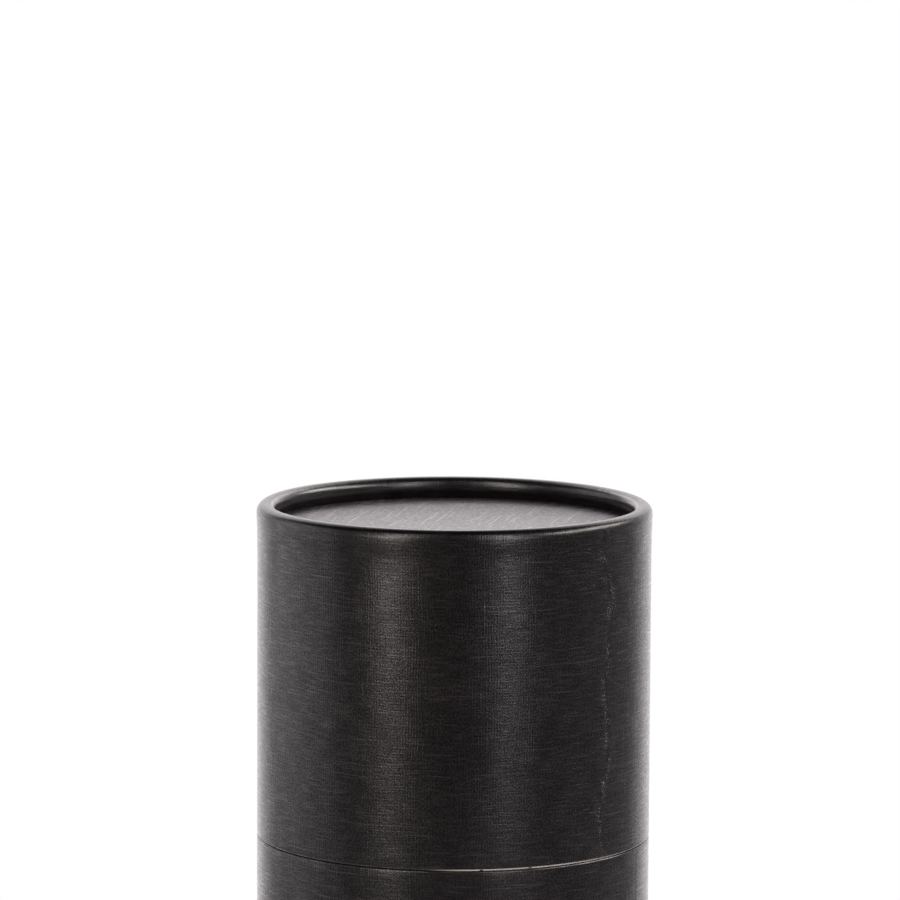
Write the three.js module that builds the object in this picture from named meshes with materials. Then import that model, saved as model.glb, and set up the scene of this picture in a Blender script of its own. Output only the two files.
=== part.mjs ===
// A round cardboard tube box with a lift-off lid, in millimetres, +Z up, with its front at -Y.
// The lid and the base are wound board tubes of one diameter, wrapped in paper. The closed end of
// each is rolled inwards into a bead whose lip grips a recessed board disc. The open ends meet in
// a flush seam, over a neck tube that is glued inside the base. The box stands on the base's bead.
import * as THREE from "three";

// Tubes
const tubeRadius = 40; // outside of the wrapped wall
const wallThickness = 1.5;
const lidHeight = 68;
const baseHeight = 112;
const mouthOuterRound = 0.45; // the wrap softens the cut edge at the seam
const mouthInnerChamfer = 0.25;

// Rolled bead at the closed end of each tube
const rollRadius = 0.4; // hollow in the middle of the roll
const beadBulge = 0.15; // how far the roll stands out past the wall
const beadRise = 4.5; // length of wall over which it swells out
const crestWidth = 0.9; // flat that the curling die leaves on the crest
const lipLength = 2.55; // straight lip from the roll's centre down to the disc
const lipPress = 0.2; // how far the lip is pressed into the disc's rim
const lipClearance = 0.1; // between the lip and the face that it leaves standing

// Lap of the wrapping paper, a low step that runs up the wall and dies out on the bead
const wrapThickness = 0.16;
const lapWidth = 8;
const lapCutWidth = 0.2; // slope at the paper's cut edge
const lapFadeWidth = 1.8; // gentler slope over the edge that is buried
const lidLapAngle = 49.6; // degrees to the right of the front
const baseLapAngle = 66.8;

// Discs
const discThickness = 2;
const discEdgeChamfer = 0.3;
const discClearance = 0.2; // between a disc's edge and the wall around it

// Neck
const neckWall = 1.2;
const neckRise = 30; // how far it stands up inside the lid
const neckClearance = 0.25; // between the neck and the walls around it
const neckMouthRound = 0.5;

// Facets
const segments = 72; // round the axis
const arcDivisions = 3; // an arc of a section has twice as many facets

const innerRadius = tubeRadius - wallThickness;
const beadRadius = wallThickness + rollRadius;
const beadCentreRadius = tubeRadius + beadBulge - beadRadius;
const crestRise = Math.sqrt(beadRadius ** 2 - (crestWidth / 2) ** 2);
const lipRadius = beadCentreRadius - beadRadius; // inside of the lip
const lipDepth = crestRise + lipLength; // from the crest down to the lip's end
const discRadius = innerRadius - discClearance;
const discInnerDepth = lipDepth - lipPress + discThickness; // from the crest to its inner face
const neckRadius = innerRadius - neckClearance;

// The section of a tube that stands on its mouth at y = 0, with its bead's crest at y = height.
// It runs out along the mouth, up the outside, over the bead, down the lip, across the lip's
// end, up into the hollow of the roll and down the inner wall.
function tubeSection(height) {
  const centreHeight = height - crestRise;
  const crestAngle = Math.acos(crestWidth / 2 / beadRadius);
  const swellStart = centreHeight - beadRise;
  const lipEnd = height - lipDepth;

  const path = new THREE.Path();
  path.moveTo(innerRadius + mouthInnerChamfer, 0);
  path.absarc(tubeRadius - mouthOuterRound, mouthOuterRound, mouthOuterRound, -Math.PI / 2, 0);
  path.lineTo(tubeRadius, swellStart);
  path.bezierCurveTo(
    tubeRadius,
    swellStart + beadRise / 2,
    tubeRadius + beadBulge,
    centreHeight - beadRise / 2,
    tubeRadius + beadBulge,
    centreHeight,
  );
  path.absarc(beadCentreRadius, centreHeight, beadRadius, 0, crestAngle);
  path.absarc(beadCentreRadius, centreHeight, beadRadius, Math.PI - crestAngle, Math.PI);
  path.lineTo(lipRadius, lipEnd);
  path.lineTo(beadCentreRadius - rollRadius, lipEnd);
  path.absarc(beadCentreRadius, centreHeight, rollRadius, Math.PI, 0, true);
  path.bezierCurveTo(
    beadCentreRadius + rollRadius,
    centreHeight - beadRise / 2,
    innerRadius,
    swellStart + beadRise / 2,
    innerRadius,
    swellStart,
  );
  path.lineTo(innerRadius, mouthInnerChamfer);
  path.closePath();
  return path.getPoints(arcDivisions);
}

// How much of the lap's step shows at a point of a tube's section: all of it on the outer wall,
// and none at the mouth, inside, or past the middle of the wall on the bead's shoulder.
function lapShare(point) {
  const clearOfBead = THREE.MathUtils.clamp(1 - (tubeRadius - point.x) / (wallThickness / 2), 0, 1);
  const clearOfMouth = THREE.MathUtils.clamp(point.y / mouthOuterRound, 0, 1);
  return clearOfBead * clearOfMouth;
}

// The angles of the vertical rows of facets, in radians to the right of the front. The rows that
// the lap needs take the place of the even ones beside them.
function rowsWithLap(lapAngle) {
  const step = (2 * Math.PI) / segments;
  const lapStart = THREE.MathUtils.degToRad(lapAngle);
  const lapEnd = lapWidth / tubeRadius;
  const rows = [
    { angle: lapStart, lift: 0 },
    { angle: lapStart + lapCutWidth / tubeRadius, lift: 1 },
    { angle: lapStart + lapEnd - lapFadeWidth / tubeRadius, lift: 1 },
    { angle: lapStart + lapEnd, lift: 0 },
  ];
  for (let i = 0; i < segments; i++) {
    const turn = THREE.MathUtils.euclideanModulo(i * step - lapStart, 2 * Math.PI);
    if (turn > lapEnd + step / 4 && turn < 2 * Math.PI - step / 4)
      rows.push({ angle: lapStart + turn, lift: 0 });
  }
  rows.sort((a, b) => a.angle - b.angle);
  return rows;
}

// A wound tube with its rolled bead and its wrap's lap, standing on its mouth. The lathed rows
// are turned to the lap's angles, and the points on the lap are moved out by the paper's thickness.
function woundTube(height, lapAngle) {
  const section = tubeSection(height);
  const rows = rowsWithLap(lapAngle);
  const geometry = new THREE.LatheGeometry(section, rows.length);
  const position = geometry.getAttribute("position");
  for (let i = 0; i <= rows.length; i++) {
    const { angle, lift } = rows[i % rows.length];
    section.forEach((point, j) => {
      const radius = point.x + lift * wrapThickness * lapShare(point);
      const index = i * section.length + j;
      position.setXYZ(index, radius * Math.sin(angle), point.y, radius * Math.cos(angle));
    });
  }
  return geometry.rotateX(Math.PI / 2);
}

// A die-cut board disc with softened edges, standing on its inner face. The lip has pressed its
// rim down, and the outer face stands inside the lip.
function boardDisc() {
  const rimHeight = discThickness - lipPress;
  const faceRadius = lipRadius - lipClearance;
  const path = new THREE.Path();
  path.moveTo(0, 0);
  path.lineTo(discRadius - discEdgeChamfer, 0);
  path.lineTo(discRadius, discEdgeChamfer);
  path.lineTo(discRadius, rimHeight - discEdgeChamfer);
  path.lineTo(discRadius - discEdgeChamfer, rimHeight);
  path.lineTo(faceRadius, rimHeight);
  path.lineTo(faceRadius, discThickness);
  path.lineTo(0, discThickness);
  return new THREE.LatheGeometry(path.getPoints(), segments).rotateX(Math.PI / 2);
}

// The neck tube, standing on its cut edge, with its upper mouth rounded to lead the lid on.
function neckTube(height) {
  const inside = neckRadius - neckWall;
  const innerRound = neckWall - neckMouthRound;
  const path = new THREE.Path();
  path.moveTo(inside, 0);
  path.lineTo(neckRadius, 0);
  path.absarc(neckRadius - neckMouthRound, height - neckMouthRound, neckMouthRound, 0, Math.PI / 2);
  path.absarc(inside + innerRound, height - innerRound, innerRound, Math.PI / 2, Math.PI);
  path.closePath();
  return new THREE.LatheGeometry(path.getPoints(arcDivisions), segments).rotateX(Math.PI / 2);
}

const linenWrap = new THREE.MeshStandardMaterial({ color: 0x2b2829, roughness: 0.5, metalness: 0 });
const linenDisc = new THREE.MeshStandardMaterial({ color: 0x2e2b2d, roughness: 0.55, metalness: 0 });
const neckLining = new THREE.MeshStandardMaterial({ color: 0x242224, roughness: 0.8, metalness: 0 });

function piece(name, geometry, material, z) {
  const mesh = new THREE.Mesh(geometry, material);
  mesh.name = name;
  mesh.position.z = z;
  return mesh;
}

// A closed tube: the wound tube, standing on its mouth, with the disc that its lip grips.
function closedTube(name, height, lapAngle) {
  const group = new THREE.Group();
  group.add(piece(`${name}_tube`, woundTube(height, lapAngle), linenWrap, 0));
  group.add(piece(`${name}_disc`, boardDisc(), linenDisc, height - discInnerDepth));
  return group;
}

const lid = closedTube("lid", lidHeight, lidLapAngle);
lid.position.z = baseHeight;

// The base is turned over sideways, so its lap's angle is given mirrored.
const base = closedTube("base", baseHeight, -baseLapAngle);
base.rotation.y = Math.PI;
base.position.z = baseHeight;

// The neck stands on the base's disc and rises past the seam into the lid.
const neck = piece(
  "neck_tube",
  neckTube(baseHeight + neckRise - discInnerDepth),
  neckLining,
  discInnerDepth,
);

const box = new THREE.Group();
box.add(base, neck, lid);

export default box;
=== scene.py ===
# Round tube box in black linen paper: finer tubes, discs and neck over the imported frame,
# with their paper, wear, painted highlights and sheen, and studio light.
import math

import bpy
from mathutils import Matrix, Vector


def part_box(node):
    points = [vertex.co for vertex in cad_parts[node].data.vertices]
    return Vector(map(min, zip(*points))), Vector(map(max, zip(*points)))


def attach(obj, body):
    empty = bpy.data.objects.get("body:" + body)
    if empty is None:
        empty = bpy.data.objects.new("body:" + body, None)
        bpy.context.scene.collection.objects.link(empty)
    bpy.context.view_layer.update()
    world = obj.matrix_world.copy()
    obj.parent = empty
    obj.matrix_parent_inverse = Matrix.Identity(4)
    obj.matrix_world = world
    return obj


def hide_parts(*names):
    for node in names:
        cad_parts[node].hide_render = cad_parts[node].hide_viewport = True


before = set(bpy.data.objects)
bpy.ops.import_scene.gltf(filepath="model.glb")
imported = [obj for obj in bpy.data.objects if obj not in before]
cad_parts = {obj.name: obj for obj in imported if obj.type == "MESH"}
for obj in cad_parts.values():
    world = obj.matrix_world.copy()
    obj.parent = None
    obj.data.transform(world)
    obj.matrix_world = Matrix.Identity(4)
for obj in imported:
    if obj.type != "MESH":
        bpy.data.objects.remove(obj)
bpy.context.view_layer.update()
print("frame loaded")

mm = 0.001
fullTurn = 2 * math.pi


# Camera: a long lens a little above the lid, whose picture cuts the box off below the seam
camera = {
    "lens": 250.0,  # mm, on a sensor 36 mm wide
    "distance": 1.254,  # metres from the tube's axis, level
    "height": 0.3594,
    "aside": -0.001,  # puts the box a little right of the middle
    "pitch": 7.66,  # degrees down
    "roll": 0.3,
}


def placeCamera(lens, distance, height, aside, pitch, roll):
    data = bpy.data.cameras.new("camera")
    data.lens = lens
    data.sensor_width = 36
    made = bpy.data.objects.new("camera", data)
    made.location = (aside, -distance, height)
    made.rotation_mode = "ZXY"
    made.rotation_euler = (math.radians(90 - pitch), 0, math.radians(roll))
    bpy.context.collection.objects.link(made)
    bpy.context.scene.camera = made


placeCamera(**camera)
print("camera placed")


# Node helpers
def addNode(tree, kind, values=None, **settings):
    made = tree.nodes.new("ShaderNode" + kind)
    for name, value in settings.items():
        setattr(made, name, value)
    for key, value in (values or {}).items():
        if isinstance(value, bpy.types.NodeSocket):
            tree.links.new(value, made.inputs[key])
        else:
            made.inputs[key].default_value = value
    return made


def calculate(tree, operation, *values):
    return addNode(tree, "Math", dict(enumerate(values)), operation=operation).outputs[0]


def ramp(tree, value, low, high, start=0.0, end=1.0):
    values = {"Value": value, "From Min": low, "From Max": high, "To Min": start, "To Max": end}
    return addNode(tree, "MapRange", values, interpolation_type="SMOOTHSTEP").outputs["Result"]


def mixColours(tree, share, first, second):
    made = addNode(tree, "Mix", data_type="RGBA")
    for socket, value in zip((made.inputs[0], made.inputs[6], made.inputs[7]), (share, first, second)):
        if isinstance(value, bpy.types.NodeSocket):
            tree.links.new(value, socket)
        else:
            socket.default_value = value
    return made.outputs[2]


def noise(tree, vector, scale, detail=2.0):
    values = {"Vector": vector, "Scale": scale, "Detail": detail}
    return addNode(tree, "TexNoise", values, noise_dimensions="2D").outputs["Fac"]


def newGroup(name, inputs, outputs):
    tree = bpy.data.node_groups.new(name, "ShaderNodeTree")
    for label, kind in inputs.items():
        tree.interface.new_socket(name=label, in_out="INPUT", socket_type="NodeSocket" + kind)
    for label in outputs:
        tree.interface.new_socket(name=label, in_out="OUTPUT", socket_type="NodeSocketFloat")
    start = tree.nodes.new("NodeGroupInput").outputs
    end = tree.nodes.new("NodeGroupOutput").inputs
    return tree, start, end


def useGroup(tree, group, values):
    made = tree.nodes.new("ShaderNodeGroup")
    made.node_tree = group
    for key, value in values.items():
        if isinstance(value, bpy.types.NodeSocket):
            tree.links.new(value, made.inputs[key])
        else:
            made.inputs[key].default_value = value
    return made.outputs


# Effects that the papers share
def stretchedNoise(tree, vector, scale, detail=1.0):
    stretched = addNode(tree, "Mapping", {"Vector": vector, "Scale": scale}).outputs[0]
    return noise(tree, stretched, 1.0, detail)


def addThreads(tree, across, along, seed, slubLength, slubLow):
    # One set of threads, a pitch apart, each with its own strength, which changes along it
    index = calculate(tree, "FLOOR", across)
    offset = calculate(tree, "ABSOLUTE", calculate(tree, "SUBTRACT", calculate(tree, "FRACT", across), 0.5))
    ownPlace = calculate(tree, "MULTIPLY_ADD", index, 3.17, seed)
    place = addNode(tree, "CombineXYZ", {"X": ownPlace, "Y": along})
    body = stretchedNoise(tree, place.outputs[0], (1, 0.10, 1))
    slow = calculate(tree, "DIVIDE", along, slubLength)
    ownSlub = calculate(tree, "MULTIPLY_ADD", index, 7.3, seed)
    apart = addNode(tree, "CombineXYZ", {"X": ownSlub, "Y": slow})
    long = noise(tree, apart.outputs[0], 1.0, 0.0)
    crown = ramp(tree, offset, 0.04, 0.46, 1.0, 0.0)
    height = calculate(tree, "MULTIPLY", crown, ramp(tree, body, 0.28, 0.72, 0.25, 1.0))
    # Thicker stretches: a mask that adds no height, which the papers paint lighter as a painted highlight
    # and glossier
    ridge = ramp(tree, offset, 0.04, 0.22, 1.0, 0.0)
    slubHighlight = calculate(tree, "MULTIPLY", ridge, ramp(tree, long, slubLow, 0.82))
    return height, slubHighlight


def makeWeaveGroup():
    # The embossed linen: threads both ways, fibre grain, and thicker stretches of some threads, which add
    # no height: the papers paint them lighter as a painted highlight and give them more gloss
    tree, start, end = newGroup(
        "linenEmboss",
        {
            "Place": "Vector",
            "Pitch": "Float",
            "Cross": "Float",
            "Grain": "Float",
            "SlubLength": "Float",
            "SlubLow": "Float",
        },
        ["Height", "Rib", "SlubHighlight", "Gloss"],
    )
    pitched = addNode(tree, "VectorMath", {0: start["Place"]}, operation="SCALE")
    tree.links.new(calculate(tree, "DIVIDE", 1.0, start["Pitch"]), pitched.inputs["Scale"])
    bend = addNode(tree, "TexNoise", {"Vector": pitched.outputs[0], "Scale": 0.05, "Detail": 1.0})
    bend.noise_dimensions = "2D"
    values = {0: bend.outputs["Color"], 1: (0.5, 0.5, 0.5)}
    centred = addNode(tree, "VectorMath", values, operation="SUBTRACT")
    values = {0: centred.outputs[0], 1: (1.3, 1.3, 0), 2: pitched.outputs[0]}
    pushed = addNode(tree, "VectorMath", values, operation="MULTIPLY_ADD")
    axes = addNode(tree, "SeparateXYZ", {0: pushed.outputs[0]}).outputs
    slubs = (start["SlubLength"], start["SlubLow"])
    upHeight, upSlubHighlight = addThreads(tree, axes[0], axes[1], 0.0, *slubs)
    crossHeight, crossSlubHighlight = addThreads(tree, axes[1], axes[0], 51.3, *slubs)
    crossHeight = calculate(tree, "MULTIPLY", crossHeight, start["Cross"])
    woven = calculate(tree, "MAXIMUM", upHeight, crossHeight)
    grain = noise(tree, pitched.outputs[0], 1.5, 2.0)
    streak = ramp(tree, stretchedNoise(tree, pitched.outputs[0], (0.12, 1.5, 1), 2.0), 0.45, 0.75)
    patches = ramp(tree, noise(tree, pitched.outputs[0], 0.11, 2.0), 0.3, 0.7, 0.86, 1.12)
    slubHighlight = calculate(tree, "MAXIMUM", calculate(tree, "MULTIPLY", upSlubHighlight, 0.12), crossSlubHighlight)
    woven = calculate(tree, "MULTIPLY_ADD", streak, 0.12, calculate(tree, "MULTIPLY", woven, patches))
    height = calculate(tree, "MULTIPLY_ADD", grain, start["Grain"], woven)
    gloss = ramp(tree, grain, 0.40, 0.60, 0.18, 0.60)
    gloss = calculate(tree, "MULTIPLY_ADD", upHeight, 0.1, gloss)
    gloss = calculate(tree, "MULTIPLY_ADD", streak, 0.34, gloss)
    gloss = calculate(tree, "MULTIPLY", calculate(tree, "MULTIPLY_ADD", slubHighlight, 0.5, gloss), patches)
    tree.links.new(height, end["Height"])
    tree.links.new(upHeight, end["Rib"])
    tree.links.new(slubHighlight, end["SlubHighlight"])
    tree.links.new(gloss, end["Gloss"])
    return tree


def makeWearGroup():
    # Whitish specks beside a paper's edge at X = 0, in loose clusters, and a few faint scratches
    inputs = {"Place": "Vector", "Width": "Float", "Amount": "Float"}
    tree, start, end = newGroup("edgeSpecks", inputs, ["Specks"])
    across = addNode(tree, "SeparateXYZ", {0: start["Place"]}).outputs[0]
    distance = calculate(tree, "DIVIDE", calculate(tree, "ABSOLUTE", across), start["Width"])
    speck = ramp(tree, noise(tree, start["Place"], 3900.0, 1.0), 0.64, 0.74)
    cluster = ramp(tree, stretchedNoise(tree, start["Place"], (420, 230, 1)), 0.46, 0.68)
    near = ramp(tree, distance, 0.0, 1.0, 0.6, 0.0)
    specks = calculate(tree, "MULTIPLY", calculate(tree, "MULTIPLY", speck, cluster), near)
    scratch = ramp(tree, stretchedNoise(tree, start["Place"], (330, 2600, 1), 0.0), 0.74, 0.84)
    rare = ramp(tree, stretchedNoise(tree, start["Place"], (90, 120, 1), 0.0), 0.55, 0.75)
    beside = ramp(tree, distance, 0.8, 4.0, 0.07, 0.0)
    scratches = calculate(tree, "MULTIPLY", calculate(tree, "MULTIPLY", scratch, rare), beside)
    both = calculate(tree, "MAXIMUM", specks, scratches)
    tree.links.new(calculate(tree, "MULTIPLY", both, start["Amount"]), end["Specks"])
    return tree


def makeSpiralGroup():
    # The edges of the wound plies, which run round the tube as a screw
    inputs = {"Place": "Vector", "Width": "Float", "Angle": "Float"}
    tree, start, end = newGroup("spiralPly", inputs, ["Edge"])
    values = {"Vector": start["Place"], "Angle": start["Angle"]}
    turned = addNode(tree, "VectorRotate", values, rotation_type="Z_AXIS")
    across = addNode(tree, "SeparateXYZ", {0: turned.outputs[0]}).outputs[0]
    share = calculate(tree, "FRACT", calculate(tree, "DIVIDE", across, start["Width"]))
    edge = calculate(tree, "ABSOLUTE", calculate(tree, "SUBTRACT", share, 0.5))
    tree.links.new(ramp(tree, edge, 0.004, 0.016, 1.0, 0.0), end["Edge"])
    return tree


weaveGroup = makeWeaveGroup()
wearGroup = makeWearGroup()
spiralGroup = makeSpiralGroup()
print("effect groups made")


# Papers
def newMaterial(name):
    material = bpy.data.materials.new(name)
    material.use_nodes = True
    tree = material.node_tree
    shader = tree.nodes["Principled BSDF"]
    return material, tree, shader


def bumped(tree, height, depth, strength=1.0):
    return addNode(tree, "Bump", {"Height": height, "Distance": depth, "Strength": strength}).outputs[0]


linenWrap = {
    "dark": (0.0006, 0.0005, 0.0006, 1),
    # The thread colour below is the threads' lighter tone, with a painted highlight on their thicker
    # stretches
    "threadAndSheen": (0.0210, 0.0174, 0.0188, 1),
    # The light colour below is used for the lap's specks, which are wear, and for the mouth's edge band,
    # which is partly wear and partly a painted highlight
    "wornAndHighlight": (0.58, 0.53, 0.49, 1),
    "pitch": 0.56 * mm,
    "depth": 0.013 * mm,
    "cross": 0.6,
    "grain": 1.0,
    "slubLength": 17.0,  # in pitches
    "slubLow": 0.69,  # noise level above which a thread has a thicker stretch, painted lighter as a painted highlight
    "roughness": (0.34, 0.29),  # between the threads and on them
    "beadRoughness": 0.22,
    "beadRib": 1.6,  # how high the ribs still stand on the bead
    "beadCoat": 0.55,
    "crestCoat": 0.1,  # share of the coat that is left where the bead isn't burnished
    "wearWidth": 2.2 * mm,  # on each side of the lap's edge
    "specular": 0.16,
    "coat": 0.96,
    "coatRoughness": 0.27,
}


def makeLinenWrap(
    dark,
    threadAndSheen,
    wornAndHighlight,
    pitch,
    depth,
    cross,
    grain,
    slubLength,
    slubLow,
    roughness,
    beadRoughness,
    beadRib,
    beadCoat,
    crestCoat,
    wearWidth,
    specular,
    coat,
    coatRoughness,
):
    material, tree, shader = newMaterial("linenWrap")
    paper = addNode(tree, "UVMap", uv_map="paper").outputs[0]
    lap = addNode(tree, "UVMap", uv_map="lap").outputs[0]
    pressed = addNode(tree, "Attribute", attribute_name="pressed").outputs["Fac"]
    burnished = addNode(tree, "Attribute", attribute_name="burnished").outputs["Fac"]
    edgeWearAndHighlight = addNode(tree, "Attribute", attribute_name="edgeWearAndHighlight").outputs["Fac"]
    weave = useGroup(
        tree,
        weaveGroup,
        {
            "Place": paper,
            "Pitch": pitch,
            "Cross": cross,
            "Grain": grain,
            "SlubLength": slubLength,
            "SlubLow": slubLow,
        },
    )
    lapWear = addNode(tree, "Attribute", attribute_name="lapWear").outputs["Fac"]
    specks = useGroup(tree, wearGroup, {"Place": lap, "Width": wearWidth, "Amount": lapWear})["Specks"]
    mottle = noise(tree, paper, 70.0, 2.0)

    onBead = calculate(tree, "MULTIPLY", weave["Rib"], beadRib)
    height = addNode(tree, "Mix", {"Factor": pressed, "A": weave["Height"], "B": onBead}).outputs["Result"]
    # Thread tone follows the gloss mask and varies at random; the thicker stretches add a painted highlight
    tone = calculate(tree, "MULTIPLY", weave["Gloss"], 0.7)
    tone = calculate(tree, "MULTIPLY_ADD", weave["SlubHighlight"], 0.5, tone)
    tone = calculate(tree, "MULTIPLY", tone, ramp(tree, mottle, 0.3, 0.7, 0.85, 1.12))
    tone = calculate(tree, "MULTIPLY", tone, ramp(tree, pressed, 0.0, 1.0, 1.0, 0.3))
    colour = mixColours(tree, tone, dark, threadAndSheen)
    # The mouth's edge band is painted light: partly wear, partly a painted highlight; the lap's specks
    # beside it are wear
    kept = ramp(tree, stretchedNoise(tree, paper, (420, 900, 1)), 0.26, 0.36)
    wornAndHighlightShare = calculate(tree, "MAXIMUM", specks, calculate(tree, "MULTIPLY", edgeWearAndHighlight, kept))
    colour = mixColours(tree, wornAndHighlightShare, colour, wornAndHighlight)
    tree.links.new(colour, shader.inputs["Base Color"])

    rough = ramp(tree, weave["Height"], 0.0, 1.0, *roughness)
    smooth = addNode(tree, "Mix", {"Factor": pressed, "A": rough, "B": beadRoughness}).outputs["Result"]
    tree.links.new(smooth, shader.inputs["Roughness"])
    shader.inputs["Specular IOR Level"].default_value = specular
    ribbed = calculate(tree, "ADD", weave["Rib"], beadCoat)
    beadFilm = calculate(tree, "MULTIPLY", ribbed, ramp(tree, burnished, 0.0, 1.0, crestCoat, 1.0))
    film = addNode(tree, "Mix", {"Factor": pressed, "A": weave["Gloss"], "B": beadFilm}).outputs["Result"]
    film = calculate(tree, "MULTIPLY", film, coat)
    film = calculate(tree, "MULTIPLY", film, calculate(tree, "SUBTRACT", 1.0, wornAndHighlightShare))
    tree.links.new(film, shader.inputs["Coat Weight"])
    shader.inputs["Coat Roughness"].default_value = coatRoughness
    bump = bumped(tree, height, depth)
    tree.links.new(bump, shader.inputs["Normal"])
    tree.links.new(bump, shader.inputs["Coat Normal"])
    return material


linenDisc = {
    "dark": (0.0085, 0.0074, 0.0084, 1),
    # Painted sheen: the two lighter colours below stand in for the light that the threads catch at a
    # grazing view
    "threadAndSheen": (0.056, 0.047, 0.0535, 1),
    "slubHighlight": (0.20, 0.174, 0.191, 1),
    "pitch": 0.56 * mm,
    "depth": 0.045 * mm,
    "cross": 0.35,
    "grain": 0.7,
    "slubLength": 30.0,
    "slubLow": 0.61,
    "turned": 11.4,  # degrees that its threads are turned from the front-to-back line
    "roughness": (0.38, 0.30),
    "specular": 0.5,
    "coat": 0.35,
    "coatRoughness": 0.28,
}


def makeLinenDisc(
    dark,
    threadAndSheen,
    slubHighlight,
    pitch,
    depth,
    cross,
    grain,
    slubLength,
    slubLow,
    turned,
    roughness,
    specular,
    coat,
    coatRoughness,
):
    material, tree, shader = newMaterial("linenDisc")
    flat = addNode(tree, "UVMap", uv_map="paper").outputs[0]
    values = {"Vector": flat, "Angle": math.radians(turned - 90)}
    paper = addNode(tree, "VectorRotate", values, rotation_type="Z_AXIS").outputs[0]
    weave = useGroup(
        tree,
        weaveGroup,
        {
            "Place": paper,
            "Pitch": pitch,
            "Cross": cross,
            "Grain": grain,
            "SlubLength": slubLength,
            "SlubLow": slubLow,
        },
    )
    # Painted sheen: the colour is lightened where the gloss mask and speckle are high, and the thicker
    # stretches are painted near grey as a painted highlight
    speckle = ramp(tree, noise(tree, paper, 1100.0, 2.0), 0.38, 0.62, 0.2, 1.6)
    gloss = calculate(tree, "MULTIPLY", weave["Gloss"], speckle)
    gloss = calculate(tree, "ADD", gloss, weave["SlubHighlight"])
    colour = mixColours(tree, calculate(tree, "MULTIPLY", gloss, 0.9), dark, threadAndSheen)
    tree.links.new(mixColours(tree, weave["SlubHighlight"], colour, slubHighlight), shader.inputs["Base Color"])
    tree.links.new(ramp(tree, weave["Height"], 0.0, 1.0, *roughness), shader.inputs["Roughness"])
    shader.inputs["Specular IOR Level"].default_value = specular
    tree.links.new(calculate(tree, "MULTIPLY", gloss, coat), shader.inputs["Coat Weight"])
    shader.inputs["Coat Roughness"].default_value = coatRoughness
    bump = bumped(tree, weave["Height"], depth)
    tree.links.new(bump, shader.inputs["Normal"])
    tree.links.new(bump, shader.inputs["Coat Normal"])
    return material


lining = {
    "dark": (0.012, 0.0112, 0.0115, 1),
    "light": (0.024, 0.0225, 0.0228, 1),
    "groove": (0.003, 0.003, 0.003, 1),
    "depth": 0.04 * mm,
    "plyWidth": 62 * mm,
    "plyAngle": 58.0,
    "roughness": (0.62, 0.78),
    "specular": 0.35,
}


def makeLining(dark, light, groove, depth, plyWidth, plyAngle, roughness, specular):
    material, tree, shader = newMaterial("lining")
    paper = addNode(tree, "UVMap", uv_map="paper").outputs[0]
    values = {"Place": paper, "Width": plyWidth, "Angle": math.radians(plyAngle)}
    ply = useGroup(tree, spiralGroup, values)["Edge"]
    fibre = noise(tree, paper, 2600.0, 4.0)
    cloud = noise(tree, paper, 120.0, 3.0)
    colour = mixColours(tree, ramp(tree, fibre, 0.3, 0.75), dark, light)
    colour = mixColours(tree, calculate(tree, "MULTIPLY", ply, 0.6), colour, groove)
    tree.links.new(colour, shader.inputs["Base Color"])
    tree.links.new(ramp(tree, cloud, 0.3, 0.7, *roughness), shader.inputs["Roughness"])
    shader.inputs["Specular IOR Level"].default_value = specular
    height = calculate(tree, "SUBTRACT", calculate(tree, "MULTIPLY", fibre, 0.3), ply)
    tree.links.new(bumped(tree, height, depth), shader.inputs["Normal"])
    return material


cutBoard = {
    "dark": (0.018, 0.0165, 0.016, 1),
    "light": (0.07, 0.063, 0.058, 1),
    "ply": 0.22 * mm,  # thickness of one layer
    "depth": 0.05 * mm,
    "roughness": (0.75, 0.95),
    "specular": 0.3,
}


def makeCutBoard(dark, light, ply, depth, roughness, specular):
    material, tree, shader = newMaterial("cutBoard")
    paper = addNode(tree, "UVMap", uv_map="paper").outputs[0]
    axes = addNode(tree, "SeparateXYZ", {0: paper}).outputs
    layer = calculate(tree, "SINE", calculate(tree, "MULTIPLY", axes[1], fullTurn / ply))
    fibre = stretchedNoise(tree, paper, (900, 4200, 1), 4.0)
    tone = calculate(tree, "MULTIPLY_ADD", layer, 0.2, ramp(tree, fibre, 0.35, 0.75))
    tree.links.new(mixColours(tree, tone, dark, light), shader.inputs["Base Color"])
    tree.links.new(ramp(tree, fibre, 0.3, 0.7, *roughness), shader.inputs["Roughness"])
    shader.inputs["Specular IOR Level"].default_value = specular
    tree.links.new(bumped(tree, tone, depth), shader.inputs["Normal"])
    return material


linenWrapMaterial = makeLinenWrap(**linenWrap)
linenDiscMaterial = makeLinenDisc(**linenDisc)
liningMaterial = makeLining(**lining)
cutBoardMaterial = makeCutBoard(**cutBoard)
print("papers made")


# Sections: each is a list of points with a radius, a height, and the part of the section that
# starts there
paperPart, liningPart, cutPart = range(3)
tiny = 1e-7  # metres: points nearer than this are one point
sharpAngle = math.radians(32)  # between two faces, from which their edge stays sharp
farFromLap = 0.1  # metres, where the lap leaves no wear


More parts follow.
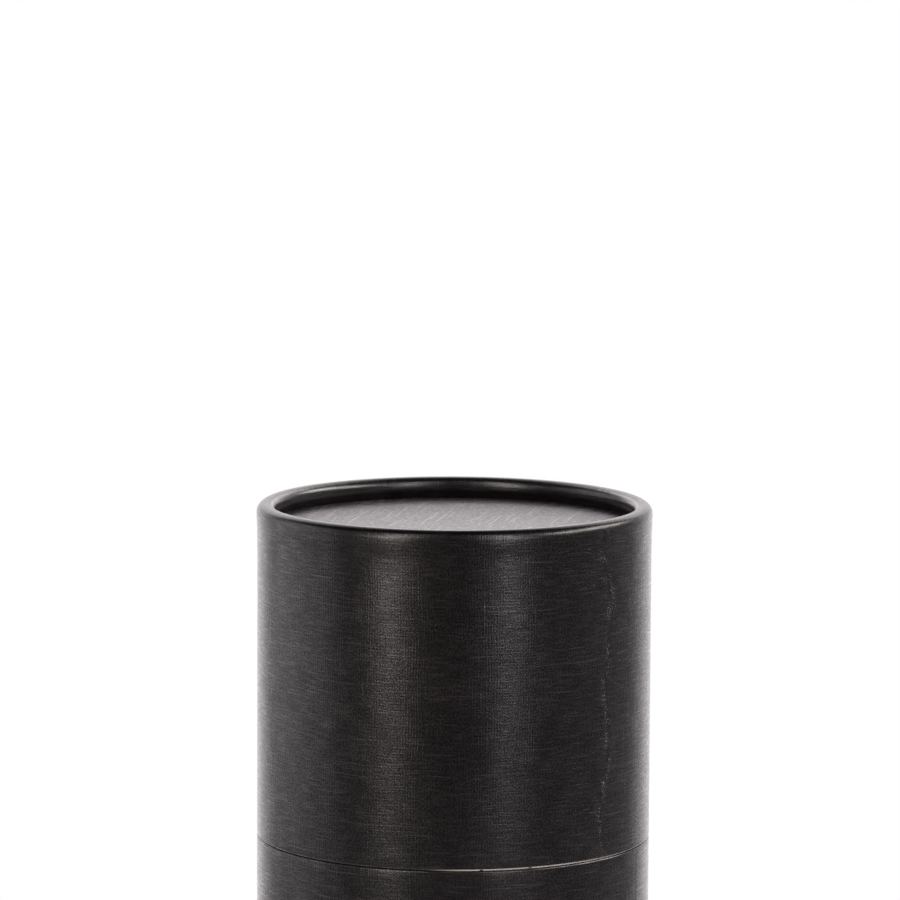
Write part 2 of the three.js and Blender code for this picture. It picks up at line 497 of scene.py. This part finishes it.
class Section:
    def __init__(self, radius, height, part):
        self.points = [(radius, height, part)]

    def go(self, part):
        radius, height, _ = self.points[-1]
        self.points[-1] = (radius, height, part)

    def line(self, radius, height, pieces=1):
        fromRadius, fromHeight, part = self.points[-1]
        for step in range(1, pieces + 1):
            share = step / pieces
            across = fromRadius + (radius - fromRadius) * share
            up = fromHeight + (height - fromHeight) * share
            self.points.append((across, up, part))

    def arc(self, radius, height, size, start, end, pieces):
        part = self.points[-1][2]
        for step in range(pieces + 1):
            angle = math.radians(start + (end - start) * step / pieces)
            point = (radius + size * math.cos(angle), height + size * math.sin(angle), part)
            if math.dist(point[:2], self.points[-1][:2]) > tiny:
                self.points.append(point)

    def swell(self, radius, height, pieces):
        # An S-shaped stretch that starts and ends upright
        fromRadius, fromHeight, part = self.points[-1]
        for step in range(1, pieces + 1):
            share = step / pieces
            eased = share * share * (3 - 2 * share)
            across = fromRadius + (radius - fromRadius) * eased
            up = fromHeight + (height - fromHeight) * share
            self.points.append((across, up, part))


def smoothStep(low, high, value):
    share = min(max((value - low) / (high - low), 0), 1)
    return share * share * (3 - 2 * share)


# Makes a mesh from a closed section turned round the axis. place(point, angle) gives a point's
# position. laid(point, angle, reach, left) gives what the paper and lap maps hold there, where
# reach is the way along the section and left the angle of the face's left side. Each mark is a
# measure(point, angle) that is kept as an attribute.
def turnSection(name, section, angles, place, laid, materials, marks=None):
    count = len(section)
    reaches = [0.0]
    for first, second in zip(section, section[1:] + section[:1]):
        reaches.append(reaches[-1] + math.dist(first[:2], second[:2]))
    vertices = []
    rows = []
    for angle in angles:
        row = []
        for number, point in enumerate(section):
            onAxis = point[0] < tiny
            if onAxis and rows:
                row.append(rows[0][number])
                continue
            row.append(len(vertices))
            vertices.append(place(point, angle))
        rows.append(row)
    faces = []
    parts = []
    papers = []
    lapPlaces = []
    for column, row in enumerate(rows):
        nextRow = rows[(column + 1) % len(rows)]
        left = angles[column]
        right = angles[column + 1] if column + 1 < len(angles) else angles[0] + fullTurn
        for number in range(count):
            following = (number + 1) % count
            corners = [
                (row[number], number, left, number),
                (nextRow[number], number, right, number),
                (nextRow[following], following, right, number + 1),
                (row[following], following, left, number + 1),
            ]
            kept = []
            for corner in corners:
                if corner[0] not in [other[0] for other in kept]:
                    kept.append(corner)
            if len(kept) < 3:
                continue
            faces.append([corner[0] for corner in kept])
            parts.append(section[number][2])
            for _, index, angle, reachIndex in kept:
                paper, lap = laid(section[index], angle, reaches[reachIndex], left)
                papers.extend(paper)
                lapPlaces.extend(lap)
    mesh = bpy.data.meshes.new(name)
    mesh.from_pydata(vertices, [], faces)
    for material in materials:
        mesh.materials.append(material)
    mesh.polygons.foreach_set("material_index", parts)
    mesh.uv_layers.new(name="paper").data.foreach_set("uv", papers)
    mesh.uv_layers.new(name="lap").data.foreach_set("uv", lapPlaces)
    for label, measure in (marks or {}).items():
        values = [0.0] * len(vertices)
        for angle, row in zip(angles, rows):
            for number, vertex in enumerate(row):
                values[vertex] = measure(section[number], angle)
        mesh.attributes.new(label, "FLOAT", "POINT").data.foreach_set("value", values)
    mesh.polygons.foreach_set("use_smooth", [True] * len(faces))
    mesh.set_sharp_from_angle(angle=sharpAngle)
    made = bpy.data.objects.new(name, mesh)
    bpy.context.collection.objects.link(made)
    return made


# Tubes: sizes in millimetres, as the board and the curling die make them
tube = {
    "wall": 1.5,
    "hollow": 0.4,  # radius of the hollow in the middle of the roll
    "bulge": 0.15,  # how far the bead stands out past the wall
    "rise": 4.5,  # length of wall over which it swells out
    "crest": 0.9,  # flat on the crest
    "lip": 2.55,  # from the roll's centre down to the lip's end
    "tuck": 42,  # degrees that the roll goes on under itself
    "mouthRound": 0.45,
    "mouthChamfer": 0.25,
    "turnIn": 11.0,  # how far the paper is turned in at the mouth
    "turnInStep": 0.07,
    "lapWidth": 8.0,
    "lapFade": 7.0,
    "cutWidth": 0.1,
    "wanderHeld": 4,  # degrees from the lap, as far as all the paper strays with its edge
    "wanderEnd": 34,  # and from where none of it does
    "outOfRound": 0.05,
    "columns": 400,
    "rowHeight": 1.6,
}
laps = {
    "lid": {
        "angle": 49.6,  # degrees to the right of the front
        "drift": 1.0,
        "period": 26.0,
        "slow": 0.6,
        "slowPeriod": 71.0,
        "start": 2.0,
        "step": 0.018,  # height of the cut edge
        "wear": 1.0,
        "mouthWearAndHighlight": 1.0,
        "edgeWearAndHighlight": (-9, 5, 30, 70),  # degrees between which the mouth's edge is painted light, partly wear and partly a painted highlight
    },
    "base": {
        "angle": 66.8,
        "drift": 0.35,
        "period": 31.0,
        "slow": 0.3,
        "slowPeriod": 90.0,
        "start": 0.4,
        "step": 0.006,
        "wear": 0.15,
        "mouthWearAndHighlight": 0.0,
        "edgeWearAndHighlight": (-7, 9, 28, 66),
    },
}

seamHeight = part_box("base_tube")[1].z
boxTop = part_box("lid_tube")[1].z
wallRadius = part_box("lid_tube")[1].x - tube["bulge"] * mm
innerRadius = wallRadius - tube["wall"] * mm
beadRadius = (tube["wall"] + tube["hollow"]) * mm
beadCentre = wallRadius + tube["bulge"] * mm - beadRadius
crestRise = math.sqrt(beadRadius**2 - (tube["crest"] * mm / 2) ** 2)
lipRadius = beadCentre - beadRadius


def tubeSection(height):
    # Standing on its mouth. Down the turned-in paper, round the mouth, up the outside, over the
    # bead, down the lip, then back inside the roll and down the board.
    centre = height - crestRise
    swellStart = centre - tube["rise"] * mm
    mouth = tube["mouthRound"] * mm
    chamfer = tube["mouthChamfer"] * mm
    turnIn = tube["turnIn"] * mm
    insidePaper = innerRadius - tube["turnInStep"] * mm
    crestAngle = math.degrees(math.acos(tube["crest"] * mm / 2 / beadRadius))
    rows = round((swellStart - mouth) / (tube["rowHeight"] * mm))
    section = Section(insidePaper, turnIn, paperPart)
    section.line(insidePaper, chamfer, 6)
    section.arc(insidePaper + chamfer, chamfer, chamfer, 180, 270, 4)
    section.arc(wallRadius - mouth, mouth, mouth, -90, 0, 8)
    section.line(wallRadius, swellStart, rows)
    section.swell(wallRadius + tube["bulge"] * mm, centre, 8)
    section.arc(beadCentre, centre, beadRadius, 0, crestAngle, 14)
    section.arc(beadCentre, centre, beadRadius, 180 - crestAngle, 180 + tube["tuck"], 20)
    section.line(beadCentre - 1.1 * tube["hollow"] * mm, centre - tube["lip"] * mm, 3)
    section.go(cutPart)
    section.line(beadCentre - tube["hollow"] * mm, centre - tube["lip"] * mm)
    section.go(liningPart)
    section.line(beadCentre - tube["hollow"] * mm, centre)
    section.arc(beadCentre, centre, tube["hollow"] * mm, 180, 0, 6)
    section.points.append((innerRadius, swellStart, liningPart))
    section.line(innerRadius, turnIn, max(rows - 8, 4))
    section.go(cutPart)
    return section.points


def lapColumns():
    # Angles from the paper's cut edge, with an extra column where the step has risen
    step = fullTurn / tube["columns"]
    risen = tube["cutWidth"] * mm / wallRadius
    return [0.0, risen] + [step * number for number in range(1, tube["columns"])]


def lapRise(turned):
    along = turned * wallRadius / mm
    if along < tube["cutWidth"] / 2:
        return 0.0
    return 1 - smoothStep(tube["lapWidth"] - tube["lapFade"], tube["lapWidth"], along)


def lapWander(lap, height):
    # How far the cut edge strays from a straight line, in metres
    along = height / mm
    quick = lap["drift"] * math.sin(fullTurn * along / lap["period"] + lap["start"])
    slow = lap["slow"] * math.sin(fullTurn * along / lap["slowPeriod"] + 2 * lap["start"])
    return (quick + slow) * mm


def nearLap(turned):
    away = min(turned, fullTurn - turned)
    return 1 - smoothStep(math.radians(tube["wanderHeld"]), math.radians(tube["wanderEnd"]), away)


def outOfRound(angle, height, length):
    # Inwards only, and nothing at the bead
    wave = math.sin(2 * angle + 0.7 + 9 * height) + 0.5 * math.sin(3 * angle + 1.9 - 14 * height)
    kept = 1 - smoothStep(length - 12 * mm, length - 6 * mm, height)
    return tube["outOfRound"] * mm * (0.5 + wave / 3) * kept


def makeTube(name, body, node, height, lap, turnedOver):
    sense = -1 if turnedOver else 1
    start = math.radians(lap["angle"])

    def bent(turned, up):
        return turned + lapWander(lap, up) / wallRadius * nearLap(turned % fullTurn)

    def place(point, turned):
        radius, up, _ = point
        outside = smoothStep(wallRadius - tube["wall"] * mm / 2, wallRadius - 0.02 * mm, radius)
        clear = smoothStep(0, tube["mouthRound"] * mm, up)
        radius += lap["step"] * mm * lapRise(turned) * outside * clear
        radius -= outOfRound(turned, up, height)
        angle = start + bent(turned, up)
        level = seamHeight + sense * up
        return (radius * math.sin(angle), -radius * math.cos(angle), level)

    def laid(point, turned, reach, left):
        paper = (bent(turned, point[1]) * wallRadius, reach)
        signed = turned - fullTurn if left >= math.pi else turned
        return paper, (signed * wallRadius, reach)

    def pressed(point, turned):
        # 1 where the curling die has flattened the paper
        return smoothStep(height - crestRise + 0.4 * mm, height - crestRise + 1.6 * mm, point[1])

    def burnished(point, turned):
        # 1 on the inner side of the bead, where the die has rubbed it shiny
        return 1 - smoothStep(beadCentre - 0.75 * beadRadius, beadCentre - 0.35 * beadRadius, point[0])

    def edgeWearAndHighlight(point, turned):
        # 1 where the mouth's edge is painted light, most of all a little right of the front: partly wear
        # where the paper has lost its black, partly a painted highlight
        low, lowFull, highFull, high = [math.radians(angle) for angle in lap["edgeWearAndHighlight"]]
        angle = (start + turned + math.pi) % fullTurn - math.pi
        around = smoothStep(low, lowFull, angle) * (1 - smoothStep(highFull, high, angle))
        outside = point[0] > wallRadius - tube["wall"] * mm / 2
        return lap["mouthWearAndHighlight"] * around * outside * (1 - smoothStep(0.2 * mm, 0.42 * mm, point[1]))

    def lapWear(point, turned):
        return lap["wear"]

    made = turnSection(
        name,
        tubeSection(height),
        lapColumns(),
        place,
        laid,
        [linenWrapMaterial, liningMaterial, cutBoardMaterial],
        {"pressed": pressed, "burnished": burnished, "edgeWearAndHighlight": edgeWearAndHighlight, "lapWear": lapWear},
    )
    if turnedOver:
        made.data.flip_normals()
    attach(made, body)
    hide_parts(node)
    return made


makeTube("lidTube", "lid", "lid_tube", boxTop - seamHeight, laps["lid"], False)
makeTube("baseTube", "base", "base_tube", seamHeight, laps["base"], True)
print("tubes made")


# Discs
disc = {
    "thickness": 2.0,
    "press": 0.2,  # how far the lip is pressed into the rim
    "lipClearance": 0.1,
    "edgeClearance": 0.2,
    "edgeRound": 0.3,
    "softening": 0.12,  # rounding of the pressed step
    "sag": 0.12,  # how far the middle lies below the rim
    "rings": 24,
    "columns": 180,
}


def discSection():
    # Standing on its inner face
    thickness = disc["thickness"] * mm
    rim = thickness - disc["press"] * mm
    outer = innerRadius - disc["edgeClearance"] * mm
    face = lipRadius - disc["lipClearance"] * mm
    soft = disc["softening"] * mm
    edge = disc["edgeRound"] * mm
    section = Section(0, 0, liningPart)
    section.line(outer - edge, 0, disc["rings"])
    section.arc(outer - edge, edge, edge, -90, 0, 4)
    section.go(cutPart)
    section.arc(outer - edge, rim - edge, edge, 0, 90, 4)
    section.go(paperPart)
    section.line(face, rim)
    section.arc(face - soft, thickness - soft, soft, 0, 90, 4)
    section.line(0, thickness, disc["rings"])
    return section.points


def makeDisc(name, body, node, turnedOver):
    low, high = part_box(node)
    sense = -1 if turnedOver else 1
    innerFace = high.z if turnedOver else low.z
    reach = lipRadius - 1 * mm

    def place(point, angle):
        radius, up, _ = point
        dip = disc["sag"] * mm * (1 - smoothStep(0, reach, radius))
        level = innerFace + sense * (up - dip * (up > disc["thickness"] * mm / 2))
        return (radius * math.sin(angle), -radius * math.cos(angle), level)

    def laid(point, angle, reach, left):
        across = point[0] * math.sin(angle)
        along = -point[0] * math.cos(angle)
        return (across, along), (farFromLap, along)

    angles = [fullTurn * number / disc["columns"] for number in range(disc["columns"])]
    made = turnSection(
        name,
        discSection(),
        angles,
        place,
        laid,
        [linenDiscMaterial, liningMaterial, cutBoardMaterial],
    )
    if turnedOver:
        made.data.flip_normals()
    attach(made, body)
    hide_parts(node)
    return made


makeDisc("lidDisc", "lid", "lid_disc", False)
makeDisc("baseDisc", "base", "base_disc", True)
print("discs made")


# Neck
neck = {
    "wall": 1.2,
    "mouthRound": 0.5,
    "liningEnd": 50,  # degrees up the mouth's rounds, where the lining ends
    "columns": 240,
    "rowHeight": 5.0,
}


def makeNeck():
    low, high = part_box("neck_tube")
    outer = high.x
    inner = outer - neck["wall"] * mm
    outerRound = neck["mouthRound"] * mm
    innerRound = neck["wall"] * mm - outerRound
    liningEnd = neck["liningEnd"]
    rows = round((high.z - low.z) / (neck["rowHeight"] * mm))
    section = Section(inner, low.z, cutPart)
    section.line(outer, low.z)
    section.go(liningPart)
    section.line(outer, high.z - outerRound, rows)
    section.arc(outer - outerRound, high.z - outerRound, outerRound, 0, liningEnd, 4)
    section.go(cutPart)
    section.arc(outer - outerRound, high.z - outerRound, outerRound, liningEnd, 90, 4)
    section.arc(inner + innerRound, high.z - innerRound, innerRound, 90, 180 - liningEnd, 4)
    section.go(liningPart)
    section.arc(inner + innerRound, high.z - innerRound, innerRound, 180 - liningEnd, 180, 4)
    section.line(inner, low.z, rows)

    def place(point, angle):
        radius, up, _ = point
        return (radius * math.sin(angle), -radius * math.cos(angle), up)

    def laid(point, angle, reach, left):
        return (angle * outer, reach), (farFromLap, reach)

    angles = [fullTurn * number / neck["columns"] for number in range(neck["columns"])]
    materials = [linenWrapMaterial, liningMaterial, cutBoardMaterial]
    section.points.pop()
    made = turnSection("neck", section.points, angles, place, laid, materials)
    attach(made, "base")
    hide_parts("neck_tube")
    return made


makeNeck()
print("neck made")


# Studio
studio = {
    "floorRadius": 0.3,
    "floorColour": (0.62, 0.64, 0.65, 1),
    "floorGlow": 0.24,  # lifts the floor to white for the camera and in reflections
    "front": 0.005,  # how bright the room is behind the camera
    "left": 0.37,
    "right": 0.31,
    "back": 1.5,
    "tint": (1.0, 0.955, 0.965, 1),
}


def pathShare(tree):
    # 1 for camera, glossy and transmission rays
    path = addNode(tree, "LightPath").outputs
    seen = calculate(tree, "MAXIMUM", path["Is Camera Ray"], path["Is Glossy Ray"])
    return calculate(tree, "MAXIMUM", seen, path["Is Transmission Ray"])


def makeFloor(radius, colour, glow):
    material = bpy.data.materials.new("floorPaper")
    material.use_nodes = True
    tree = material.node_tree
    tree.nodes.clear()
    plain = addNode(tree, "BsdfDiffuse", {"Color": colour})
    lifted = calculate(tree, "MULTIPLY", pathShare(tree), glow)
    light = addNode(tree, "Emission", {"Color": (1, 1, 1, 1), "Strength": lifted})
    both = addNode(tree, "AddShader", {0: plain.outputs[0], 1: light.outputs[0]})
    addNode(tree, "OutputMaterial", {"Surface": both.outputs[0]})
    corners = 96
    angles = [fullTurn * number / corners for number in range(corners)]
    ring = [(radius * math.cos(angle), radius * math.sin(angle), 0) for angle in angles]
    mesh = bpy.data.meshes.new("floor")
    mesh.from_pydata(ring, [], [list(range(corners))])
    mesh.materials.append(material)
    made = bpy.data.objects.new("floor", mesh)
    bpy.context.collection.objects.link(made)


def makeWorld(front, left, right, back, tint):
    world = bpy.data.worlds.new("studio")
    bpy.context.scene.world = world
    world.use_nodes = True
    tree = world.node_tree
    tree.nodes.clear()
    way = addNode(tree, "TexCoord").outputs["Generated"]
    axes = addNode(tree, "SeparateXYZ", {0: way}).outputs
    side = ramp(tree, axes[0], -0.5, 0.5, left, right)
    beside = ramp(tree, axes[1], -0.85, 0.2)
    room = addNode(tree, "Mix", {"Factor": beside, "A": front, "B": side}).outputs["Result"]
    behind = ramp(tree, axes[1], 0.6, 0.92)
    strength = addNode(tree, "Mix", {"Factor": behind, "A": room, "B": back}).outputs["Result"]
    overhead = ramp(tree, axes[2], 0.3, 0.65, 1.0, 0.1)  # the room darkens towards the ceiling
    strength = calculate(tree, "MULTIPLY", strength, overhead)
    seen = addNode(tree, "LightPath").outputs["Is Camera Ray"]
    mixed = addNode(tree, "Mix", {"Factor": seen, "A": strength, "B": 1.0}).outputs["Result"]
    colour = mixColours(tree, seen, tint, (1, 1, 1, 1))
    background = addNode(tree, "Background", {"Color": colour, "Strength": mixed})
    addNode(tree, "OutputWorld", {"Surface": background.outputs[0]})


# Each box's azimuth is in degrees to the right of the camera, seen from the tube, its tilt is
# down from upright, and its brightness is that of its face, where 1 is white
softboxes = {
    "leftStrip": {
        "azimuth": -36.4,
        "height": 0.95,
        "distance": 1.1,
        "tilt": 0,
        "size": (0.235, 1.8),
        "brightness": 10.6,
        "colour": (1.0, 0.93, 0.88),
    },
    "rightStrip": {
        "azimuth": 32,
        "height": 0.95,
        "distance": 1.2,
        "tilt": 0,
        "size": (0.24, 1.8),
        "brightness": 8.9,
        "colour": (1.0, 0.97, 0.97),
    },
    "leftWall": {
        "azimuth": -100,
        "height": 0.45,
        "distance": 1.1,
        "tilt": 0,
        "size": (1.1, 1.1),
        "brightness": 1.0,
        "colour": (1.0, 0.96, 0.96),
    },
    "rightHigh": {
        "azimuth": 92,
        "height": 0.82,
        "distance": 1.0,
        "tilt": 30,
        "size": (1.3, 0.32),
        "brightness": 11.0,
        "colour": (1.0, 0.95, 0.90),
    },
    "backHigh": {
        "azimuth": 180,
        "height": 1.0,
        "distance": 1.0,
        "tilt": 40,
        "size": (1.6, 0.9),
        "brightness": 2.1,
        "colour": (1.0, 0.95, 0.99),
    },
}


def addSoftbox(name, azimuth, height, distance, tilt, size, brightness, colour):
    data = bpy.data.lights.new(name, "AREA")
    data.shape = "RECTANGLE"
    data.size, data.size_y = size
    data.energy = brightness * size[0] * size[1] * math.pi
    data.color = colour
    made = bpy.data.objects.new(name, data)
    angle = math.radians(azimuth)
    made.location = (distance * math.sin(angle), -distance * math.cos(angle), height)
    made.rotation_euler = (math.radians(90 - tilt), 0, angle)
    bpy.context.collection.objects.link(made)


makeFloor(studio["floorRadius"], studio["floorColour"], studio["floorGlow"])
makeWorld(studio["front"], studio["left"], studio["right"], studio["back"], studio["tint"])
for name, settings in softboxes.items():
    addSoftbox(name, **settings)
bpy.context.scene.view_settings.view_transform = "Standard"
print("studio lit")
